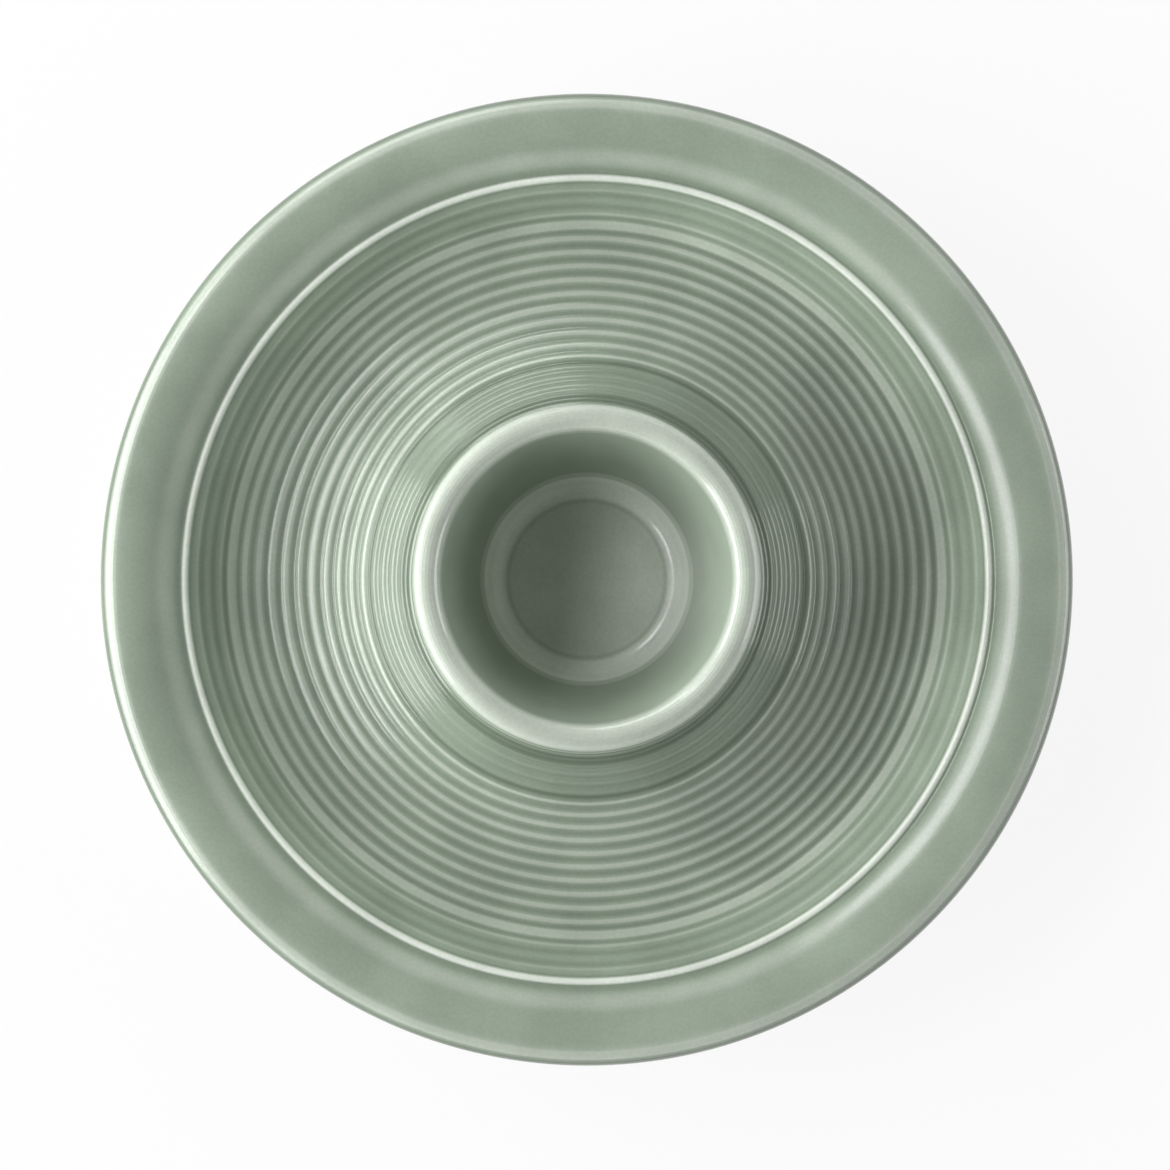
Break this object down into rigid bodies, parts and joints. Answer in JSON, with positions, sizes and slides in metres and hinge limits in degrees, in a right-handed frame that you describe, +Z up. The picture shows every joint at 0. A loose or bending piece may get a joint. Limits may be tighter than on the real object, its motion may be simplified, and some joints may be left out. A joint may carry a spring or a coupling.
{
  "type": "egg cup",
  "caption": "Round glazed porcelain egg cup rising from the centre of its own ribbed tray with a smooth rolled lip, on a bare foot ring.",
  "frame": {"origin": "centre of the foot ring's contact face, on the table", "axes": "+Z up along the axis of the round tray and cup; +X to the right and +Y to the top of the picture, which looks straight down"},
  "size_m": [0.13, 0.13, 0.04],
  "materials": {
    "glaze": "glossy moss green glaze",
    "bare_porcelain": "matte, unglazed"
  },
  "bodies": {
    "root": {"tray": "glaze", "egg_cup": "glaze", "luting_ring": "glaze", "foot_ring": "bare_porcelain"}
  },
  "joints": []
}
